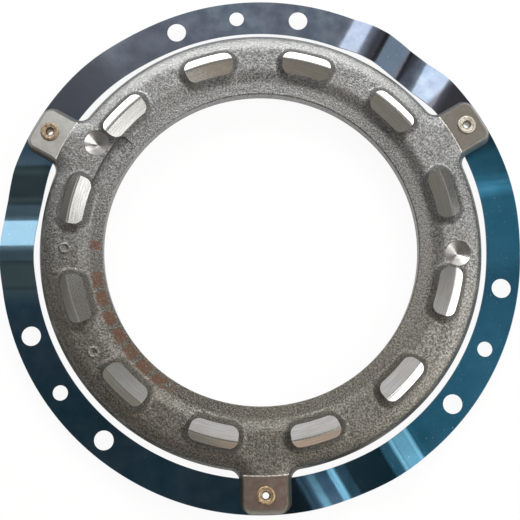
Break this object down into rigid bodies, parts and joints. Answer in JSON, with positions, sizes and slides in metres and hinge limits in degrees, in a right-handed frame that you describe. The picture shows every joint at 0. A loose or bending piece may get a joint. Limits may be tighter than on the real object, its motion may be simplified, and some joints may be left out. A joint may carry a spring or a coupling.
{
  "type": "clutch pressure plate",
  "caption": "Cast clutch pressure plate with raised fulcrum pads and a bore, hung by lugs and hollow rivets on a thin joggled spring-steel leaf ring.",
  "frame": {"origin": "centre of the bolt circle, in the plane the leaf ring is bolted to", "axes": "+Z along the clutch axis, away from the flywheel; lugs at 30, 150 and 270 degrees from +X"},
  "size_m": [0.2846, 0.2846, 0.0198],
  "materials": {
    "blued_spring_steel": "heat-blued, smooth and glossy",
    "grey_iron": "shot-blasted sand casting with bright turned faces",
    "plated_rivet": "yellow plated, semi-matt"
  },
  "bodies": {
    "ring": {"leaf_ring": "blued_spring_steel"},
    "plate": {"pressure_plate": "grey_iron", "lug_rivet_1": "plated_rivet", "lug_rivet_2": "plated_rivet", "lug_rivet_3": "plated_rivet"}
  },
  "joints": [
    {"name": "plate_travel", "type": "slide", "parent": "ring", "child": "plate", "axis": [0, 0, 1], "range_m": [-0.0045, 0.001], "stiffness_N_per_m": 40000, "deforming": ["leaf_ring"]}
  ]
}
